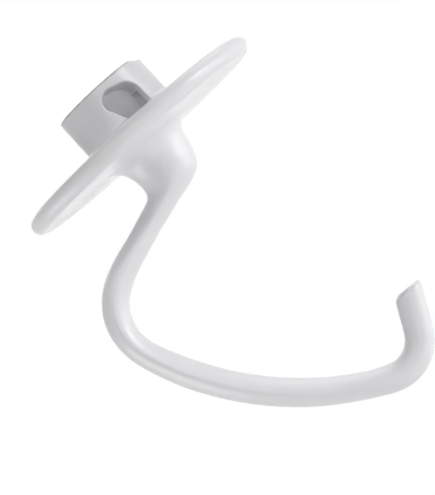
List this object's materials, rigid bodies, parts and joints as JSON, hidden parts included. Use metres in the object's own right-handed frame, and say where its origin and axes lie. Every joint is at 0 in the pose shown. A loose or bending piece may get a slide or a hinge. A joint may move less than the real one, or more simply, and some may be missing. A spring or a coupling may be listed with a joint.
{
  "type": "stand mixer dough hook",
  "caption": "C-shaped dough hook for a stand mixer: a slotted drive hub over a round shield disc, cast with a flared neck and one curved hook that ends in a short upturned tip.",
  "frame": {"origin": "centre of the shaft bore's mouth, on the top face of the hub", "axes": "+Z out of the bore towards the mixer; the hook lies in the XZ plane, its bends towards -X and its upturned tip towards +X; the groove for the drive pin is at +X"},
  "size_m": [0.0832, 0.079, 0.1184],
  "materials": {
    "coating": "smooth white coating with a satin sheen, over a cast body"
  },
  "bodies": {
    "root": {"dough_hook": "coating"}
  },
  "joints": []
}
